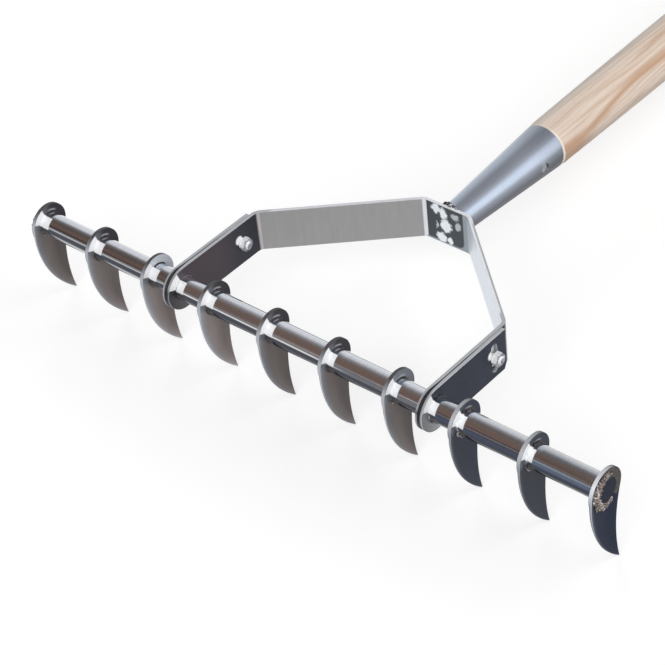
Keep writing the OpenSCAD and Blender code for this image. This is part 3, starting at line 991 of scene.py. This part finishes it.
def heart_line(graph, y, side, tone, faint):
    """Share of the brown heart line and of the stain."""
    wander = graph.math("MULTIPLY_ADD", graph.minus(tone, 0.5), HEART_WANDER, side)
    climb = graph.minus((y, HEART_CLIMB_Y), 0.5)
    wander = graph.math("MULTIPLY_ADD", climb, HEART_CLIMB, wander)
    heart = graph.times((wander, HEART), graph.blend((faint, HEART_FAINT), *HEART_SHARES))
    return graph.most(heart, graph.times((side, STAIN), (y, STAIN_Y), STAIN_SHARE))


def ash_wood():
    graph = Graph("ash_wood")
    x, y, z = graph.split(graph.place())
    side = graph.math("ARCTAN2", x, graph.along(Z_WAY))
    tone = graph.grain(TONE_GRAIN)
    faint = graph.grain(FAINT_GRAIN)
    fibre = graph.grain(*FIBRE_GRAIN)
    rings = graph.ramp(growth_ring(graph, x, z), RING_TONES)
    base = graph.cover(
        graph.varied(graph.mix((faint, FAINT), PLAIN_ASH, rings), tone, *TONE_LEVELS),
        (STREAK_BROWN, (graph.grain(STREAK_GRAIN), STREAK), STREAK_SHARE),
        (STREAK_BROWN, heart_line(graph, y, side, tone, faint)),
        # painted shade: the grey side
        (GREY_ASH, (side, GREY), GREY_SHARE),
    )
    base = graph.cover(
        # painted shade: the darker underside
        graph.varied(base, (side, UNDER), 1.0, UNDER_LEVEL),
        (FIBRE_BROWN, (fibre, FIBRE), FIBRE_SHARE),
        (PORE_BROWN, (graph.grain(PORE_GRAIN), PORE), PORE_SHARE),
        # painted highlight: the pale shoulder edge, strongest towards the top right
        (SHOULDER_PALE, (y, SHOULDER_Y), graph.blend((side, SHOULDER), *SHOULDER_SHARES)),
    )
    return graph.surface(
        Base_Color=base,
        Roughness=graph.blend(fibre, *WOOD_ROUGH),
        Normal=graph.bump(fibre, *FIBRE_BUMP),
    )


# Angles over which an edge stays sharp, by the kind of piece
SOFTENED_SHARP = 60 * DEG
TURNED_SHARP = 40 * DEG
BEAD_SHARP = 70 * DEG
STUDIO_SHARP = 30 * DEG

# Broken edges: the angles that count as flat and as a corner, and the widths of the break
FLAT = 0.4 * DEG
CORNER = 28 * DEG
DOUBLES = 0.001 * MM
EDGE_BREAK = 0.3 * MM
STRIP_BREAK = 0.45 * MM
BREAK_STEPS = 2


def finish_piece(piece, slot, body, material, *nodes):
    piece.data.materials.clear()
    piece.data.materials.append(material)
    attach(piece, body)
    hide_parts(*nodes)


def new_piece(name, mesh_edit, sharp):
    """An object with the mesh that mesh_edit holds, smooth but for its sharp edges."""
    bmesh.ops.recalc_face_normals(mesh_edit, faces=mesh_edit.faces)
    mesh = bpy.data.meshes.new(name)
    mesh_edit.to_mesh(mesh)
    mesh_edit.free()
    mesh.shade_smooth()
    mesh.set_sharp_from_angle(angle=sharp)
    piece = bpy.data.objects.new(name, mesh)
    bpy.context.scene.collection.objects.link(piece)
    return piece


def softened(node, width):
    """A copy of a solid with its sharp edges broken, so that they catch the light."""
    edit = bmesh.new()
    edit.from_mesh(frame["nodes"][node].data)
    bmesh.ops.remove_doubles(edit, verts=edit.verts, dist=DOUBLES)
    bmesh.ops.dissolve_limit(edit, angle_limit=FLAT, verts=edit.verts, edges=edit.edges)
    corners = [
        edge for edge in edit.edges
        if len(edge.link_faces) == 2 and edge.calc_face_angle(0.0) > CORNER
    ]
    bmesh.ops.bevel(
        edit, geom=corners, offset=width, offset_type="OFFSET", segments=BREAK_STEPS, profile=0.5,
        affect="EDGES", clamp_overlap=True,
    )
    piece = new_piece(node + "_finished", edit, SOFTENED_SHARP)
    piece.modifiers.new("flat_faces", "WEIGHTED_NORMAL").keep_sharp = True
    return piece


def add_loft(edit, rings, looped=False):
    """A skin over rows of points that close round, with a cap on each end or back to the first row."""
    rows = [[edit.verts.new(point) for point in ring] for ring in rings]
    pairs = list(zip(rows, rows[1:]))
    if looped:
        pairs.append((rows[-1], rows[0]))
    for low, high in pairs:
        for i in range(len(low)):
            j = (i + 1) % len(low)
            edit.faces.new((low[i], low[j], high[j], high[i]))
    if not looped:
        edit.faces.new(rows[0])
        edit.faces.new(rows[-1])


# Clamp bolts and nuts
ROUND_POINTS = 72
HEX_FLATS = 8 * MM
HEX_SLOPE = math.tan(30 * DEG)
HEX_FACE_R = 0.93 * HEX_FLATS / 2
BOLT_HEAD_H = 3.5 * MM
BOLT_R = 2.5 * MM
THREAD_PITCH = 0.8 * MM
THREAD_DEPTH = 0.42 * MM
THREAD_STEPS = 8
WASHER_T = 0.3 * MM
BORE_CHAMFER = 0.35 * MM

# Socket screw
CROSS_ARM = 1.8 * MM
CROSS_HALF = 0.45 * MM
CROSS_DEPTH = 1.3 * MM
CROSS_FLOOR = 0.55
SCREW_SHANK_R = 1.75 * MM
SCREW_TIP_R = 0.175 * MM

# The two ways across the bar and across the socket
ROUND_BAR = (Y_WAY, Z_WAY)
ROUND_SOCKET = (X_WAY, Z_WAY)


def out_at(angle, sides):
    """The way out from an axis at an angle between two sides."""
    return math.cos(angle) * sides[0] + math.sin(angle) * sides[1]


def turned_ring(centre, x, reach, cut=0.0):
    """Points round an axis along X; reach is a radius or gives one for each angle.

    A cut of 1 or -1 turns off the corners of a hexagon, towards higher or lower x.
    """
    points = []
    for i in range(ROUND_POINTS):
        angle = TURN * i / ROUND_POINTS
        radius = reach(angle) if callable(reach) else reach
        drop = cut * (radius - HEX_FLATS / 2) * HEX_SLOPE
        points.append(centre + (x + drop) * X_WAY + radius * out_at(angle, ROUND_BAR))
    return points


def turned_piece(node, ending, rows, material, looped=False):
    """A fastener from the x, reach and cut of each of its rings."""
    centre = middle(node)
    centre.x = 0.0
    edit = bmesh.new()
    add_loft(edit, [turned_ring(centre, *row) for row in rows], looped)
    piece = new_piece(node + ending, edit, TURNED_SHARP)
    finish_piece(piece, "fastener_steel", FRAME_BODY, material, node)


def hex_reach(angle):
    sector = TURN / 6
    return HEX_FLATS / 2 / math.cos((angle % sector) - sector / 2)


def clamp_bolt(side, material):
    node = "clamp_bolt_" + side
    low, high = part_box(node)
    thread_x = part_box("clamp_nut_" + side)[0].x
    thread_l = high.x - thread_x
    seat_x = low.x + BOLT_HEAD_H
    rows = [
        (low.x, HEX_FACE_R),
        (low.x, hex_reach, 1.0),
        (seat_x - WASHER_T, hex_reach),
        (seat_x - WASHER_T, HEX_FACE_R),
        (seat_x, HEX_FACE_R),
        (seat_x, BOLT_R),
    ]
    steps = int(thread_l / THREAD_PITCH * THREAD_STEPS)
    for k in range(steps + 1):
        along = thread_l * k / steps

        def thread(angle, along=along):
            wave = (along / THREAD_PITCH - angle / TURN) % 1.0
            fade = min(1.0, (thread_l - along) / THREAD_PITCH)
            return BOLT_R - THREAD_DEPTH * (1 - abs(2 * wave - 1)) * fade - (1 - fade) * THREAD_DEPTH

        rows.append((thread_x + along, thread))
    turned_piece(node, "_threaded", rows, material)


def clamp_nut(side, material):
    node = "clamp_nut_" + side
    low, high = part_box(node)
    rows = [
        (low.x + BORE_CHAMFER, BOLT_R),
        (low.x, BOLT_R + BORE_CHAMFER),
        (low.x, HEX_FACE_R),
        (low.x, hex_reach, 1.0),
        (high.x, hex_reach, -1.0),
        (high.x, HEX_FACE_R),
        (high.x, BOLT_R + BORE_CHAMFER),
        (high.x - BORE_CHAMFER, BOLT_R),
    ]
    turned_piece(node, "_chamfered", rows, material, looped=True)


def cross_reach(angle):
    quarter = TURN / 4
    folded = abs((angle + quarter / 2) % quarter - quarter / 2)
    if math.tan(folded) < CROSS_HALF / CROSS_ARM:
        return CROSS_ARM / math.cos(folded)
    return CROSS_HALF / math.sin(folded)


def socket_screw(material):
    node = "socket_screw"
    low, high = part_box(node)
    head_r = (high.y - low.y) / 2
    head_h = head_r - SCREW_SHANK_R
    rows = [
        (high.x - CROSS_DEPTH, lambda angle: CROSS_FLOOR * cross_reach(angle)),
        (high.x, cross_reach),
        (high.x, head_r),
        (high.x - head_h, SCREW_SHANK_R),
        (low.x + 2 * SCREW_SHANK_R, SCREW_SHANK_R),
        (low.x, SCREW_TIP_R),
    ]
    turned_piece(node, "_crossed", rows, material)


# Weld beads
BEAD_POINTS = 132
BEAD_SECTION = 6
BEAD_SINK = 0.15 * MM
ROOT_BEAD = 0.6 * MM
HEAVY_BEAD = 1.25 * MM
HEAVY_BEADS = ("blade_08", "blade_09")
SOCKET_TIP_R = 10.2 * MM
SOCKET_BEAD = 3.4 * MM
SOCKET_TOP_SHARE = 0.4
SOCKET_SEED = 51
BEAD_TOP = 62 * DEG
RIPPLES = 44
RIPPLE = 0.04
RIPPLE_SHIFT = 3
LUMP = 0.75
LUMP_SHIFT = 0.5
CORNER_LUMPS = 5

# End welds: lumpy beads round the bar on the outer faces of the end blades
END_FROM = 58 * DEG
END_TO = 300 * DEG
END_MID = 1.9 * MM
END_HALF_W = 2.7 * MM
END_HEIGHT = 2 * MM
END_SECTION = 12
END_TAPER = 0.35
END_SWAY = 0.3 * MM
END_SWAYS = 9
END_LUMPS = 7
END_RIGHT_SEED = 61
END_LEFT_SEED = 67


def lump(angle, row, seed, coarse):
    """Share by which a bead swells at one place."""
    ripple = RIPPLE * math.sin(RIPPLES * angle + RIPPLE_SHIFT * row)
    place = Vector((coarse * math.cos(angle), coarse * math.sin(angle), seed + LUMP_SHIFT * row))
    return 1 + ripple + LUMP * noise.noise(place)


def corner_bead(edit, centre, axis, sides, radius, size, seed, top_share=0.0):
    """A bead in the corner between a round piece and the face that it stands on."""
    rings = []
    for k in range(BEAD_POINTS):
        angle = TURN * k / BEAD_POINTS
        out = out_at(angle, sides)
        corner = centre + radius * out
        heavier = 1 + top_share * math.cos(angle - BEAD_TOP)
        ring = [corner - BEAD_SINK * (out + axis)]
        for j in range(BEAD_SECTION + 1):
            lean = TURN / 4 * j / BEAD_SECTION
            reach = size * heavier * lump(angle, j, seed, CORNER_LUMPS)
            ring.append(corner + reach * out_at(lean, (out, axis)))
        rings.append(ring)
    add_loft(edit, rings, looped=True)


def finish_beads(name, edit, body, material, node):
    finish_piece(new_piece(name, edit, BEAD_SHARP), "weld_steel", body, material, node)


def root_beads(name, faces, material, node):
    """Beads round the bar at faces given by their place, the way that they look and their size."""
    edit = bmesh.new()
    for index, (x, axis, size) in enumerate(faces):
        corner_bead(edit, spot(x, 0, 0), axis, ROUND_BAR, BAR_R, size, 2.0 * index)
    finish_beads(name, edit, HEAD_BODY, material, node)


def blade_faces():
    lefts = [(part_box(name)[0].x, -X_WAY, ROOT_BEAD) for name in BLADES[1:]]
    rights = []
    for name in BLADES[:-1]:
        size = HEAVY_BEAD if name in HEAVY_BEADS else ROOT_BEAD
        rights.append((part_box(name)[1].x, X_WAY, size))
    return lefts + rights


def socket_bead(material):
    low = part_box("socket_weld")[0]
    tip = spot(0, (Vector((0, low.y, BAR.z)) - BAR).dot(Y_WAY), 0)
    edit = bmesh.new()
    corner_bead(edit, tip, Y_WAY, ROUND_SOCKET, SOCKET_TIP_R, SOCKET_BEAD, SOCKET_SEED, SOCKET_TOP_SHARE)
    finish_beads("socket_weld_bead", edit, FRAME_BODY, material, "socket_weld")


def end_bead(edit, face_x, axis, seed):
    rings = []
    for k in range(BEAD_POINTS + 1):
        share = k / BEAD_POINTS
        angle = END_FROM + (END_TO - END_FROM) * share
        out = out_at(angle, ROUND_BAR)
        taper = math.sin(math.pi * share) ** END_TAPER
        mid = BAR_R + END_MID + END_SWAY * math.sin(END_SWAYS * angle)
        ring = []
        for j in range(END_SECTION + 1):
            lean = math.pi * j / END_SECTION
            swell = taper * lump(angle, 2 * j, seed, END_LUMPS)
            ring.append(
                spot(face_x, 0, 0)
                + (mid + END_HALF_W * swell * math.cos(lean)) * out
                + (END_HEIGHT * swell * math.sin(lean) - BEAD_SINK) * axis
            )
        rings.append(ring)
    add_loft(edit, rings)


def end_beads(material):
    edit = bmesh.new()
    end_bead(edit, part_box(BLADES[-1])[1].x, X_WAY, END_RIGHT_SEED)
    end_bead(edit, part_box(BLADES[0])[0].x, -X_WAY, END_LEFT_SEED)
    finish_beads("end_weld_beads", edit, HEAD_BODY, material, "end_welds")


def add_pieces():
    blade = blade_steel()
    plate = plate_steel()
    fastener = fastener_steel("fastener_steel", NUT_SIDE_TONES, NUT_END_TONES)
    screw = fastener_steel("screw_steel", SCREW_SIDE_TONES, SCREW_END_TONES)
    root_weld = root_bead_steel()
    socket_weld = bead_steel("socket_weld", SOCKET_WELD_TONES, SOCKET_WELD_SPOTS)
    end_weld = bead_steel("end_weld", END_WELD_TONES, END_WELD_SPOTS)
    for name in BLADES:
        finish_piece(softened(name, EDGE_BREAK), "blade_steel", HEAD_BODY, blade, name)
    for name in PLATES:
        finish_piece(softened(name, STRIP_BREAK), "blade_steel", HEAD_BODY, plate, name)
    finish_piece(softened("tine_bar", EDGE_BREAK), "polished_steel", HEAD_BODY, bar_steel(), "tine_bar")
    finish_piece(softened("yoke", STRIP_BREAK), "polished_steel", FRAME_BODY, yoke_steel(), "yoke")
    finish_piece(softened("socket", EDGE_BREAK), "satin_steel", FRAME_BODY, satin_steel(), "socket")
    handle = frame["nodes"]["handle"]
    handle.data.materials.clear()
    handle.data.materials.append(ash_wood())
    for side in ("left", "right"):
        clamp_bolt(side, fastener)
        clamp_nut(side, fastener)
    socket_screw(screw)
    root_beads("blade_weld_beads", blade_faces(), root_weld, "blade_welds")
    plate_faces = [(PLATE_FACE_X, X_WAY, ROOT_BEAD), (-PLATE_FACE_X, -X_WAY, ROOT_BEAD)]
    root_beads("plate_weld_beads", plate_faces, root_weld, "plate_welds")
    socket_bead(socket_weld)
    end_beads(end_weld)


# Studio
FLOOR_SIZE = 12
FLOOR_TONE = (0.5, 0.5, 0.5)
FLOOR_GLOW = 0.585
WORLD_LIGHT = 0.38
WORLD_TONE = (1, 1, 1)
CARD_R = 0.9
CARD_ENDS_X = (-1.9, -0.12)
CARD_STEPS = 48

# The card's tones, by the angle round the bar at which they are mirrored to the camera
CARD_TONES = [
    (-67, 1, 1, 1), (-51, 0.8, 0.83, 0.88), (-43, 0.84, 0.86, 0.92), (-34, 0.56, 0.56, 0.59),
    (-26, 0.31, 0.29, 0.3), (-17, 0.2, 0.165, 0.152), (-8, 0.195, 0.14, 0.119),
    (-2, 0.2, 0.138, 0.115), (3, 0.185, 0.124, 0.104), (9, 0.212, 0.146, 0.13),
    (16, 0.245, 0.205, 0.2),
]

# Lamps: the way to each from the bar, its distance, its size and its watts
LAMPS = {
    "key": ((0.76, 0.5, 0.42), 6.8, 6.8, 240),
    "fill": ((-0.76, 0.55, 0.4), 7.2, 4, 128),
    "front": ((0.35, -0.72, 0.6), 7.2, 4.8, 256),
}


def seen_share(graph):
    """1 for what the camera, gloss and glass see, 0 for light on matt surfaces."""
    rays = ("Is Camera Ray", "Is Glossy Ray", "Is Transmission Ray")
    camera, gloss, glass = [graph.node("ShaderNodeLightPath", {}, ray) for ray in rays]
    return graph.most(graph.most(camera, gloss), glass)


def add_floor():
    graph = Graph("studio_floor")
    matt = graph.node("ShaderNodeBsdfDiffuse", {"Color": FLOOR_TONE})
    strength = graph.times(seen_share(graph), FLOOR_GLOW)
    glow = graph.node("ShaderNodeEmission", {"Strength": strength})
    both = graph.node("ShaderNodeAddShader", {0: matt, 1: glow})
    edit = bmesh.new()
    bmesh.ops.create_grid(edit, x_segments=1, y_segments=1, size=FLOOR_SIZE / 2)
    floor = new_piece("floor", edit, STUDIO_SHARP)
    floor.data.materials.append(graph.finished(both))


def add_world():
    graph = Graph("studio", "worlds")
    strength = graph.blend(seen_share(graph), WORLD_LIGHT, 1.0)
    background = graph.node("ShaderNodeBackground", {"Color": WORLD_TONE, "Strength": strength})
    bpy.context.scene.world = graph.finished(background, "ShaderNodeOutputWorld")


def card_material(first, span):
    graph = Graph("toned_card")
    y, z = across_bar(graph, BAR)[1:]
    turn = graph.minus(graph.math("ARCTAN2", z, y), FRONT_ANGLE)
    mirrored = graph.math("DIVIDE", turn, 2.0)
    share = graph.math("DIVIDE", graph.minus(mirrored, first * DEG), span * DEG)
    stops = [((deg - first) / span, *tone) for deg, *tone in CARD_TONES]
    return graph.finished(graph.node("ShaderNodeEmission", {"Color": graph.ramp(share, stops)}))


def add_card():
    """A toned card round the left of the rake, which the polished bar mirrors."""
    first = CARD_TONES[0][0]
    span = CARD_TONES[-1][0] - first
    edit = bmesh.new()
    rows = []
    for k in range(CARD_STEPS + 1):
        angle = FRONT_ANGLE + 2 * (first + span * k / CARD_STEPS) * DEG
        out = CARD_R * math.cos(angle), CARD_R * math.sin(angle)
        rows.append([edit.verts.new(spot(x, *out)) for x in CARD_ENDS_X])
    for low, high in zip(rows, rows[1:]):
        edit.faces.new((low[0], low[1], high[1], high[0]))
    card = new_piece("toned_card", edit, STUDIO_SHARP)
    card.data.materials.append(card_material(first, span))
    card.visible_camera = False
    card.visible_diffuse = False
    card.visible_shadow = False


def add_lamp(name, direction, distance, size, watts):
    data = bpy.data.lights.new(name, "AREA")
    data.shape = "SQUARE"
    data.size = size
    data.energy = watts
    lamp = bpy.data.objects.new(name, data)
    lamp.location = BAR + distance * way(*direction)
    lamp.rotation_euler = way(*direction).to_track_quat("Z", "Y").to_euler()
    bpy.context.scene.collection.objects.link(lamp)


add_camera()
add_pieces()
add_floor()
add_world()
add_card()
for lamp_name, lamp_values in LAMPS.items():
    add_lamp(lamp_name, *lamp_values)
bpy.context.scene.view_settings.view_transform = "Standard"
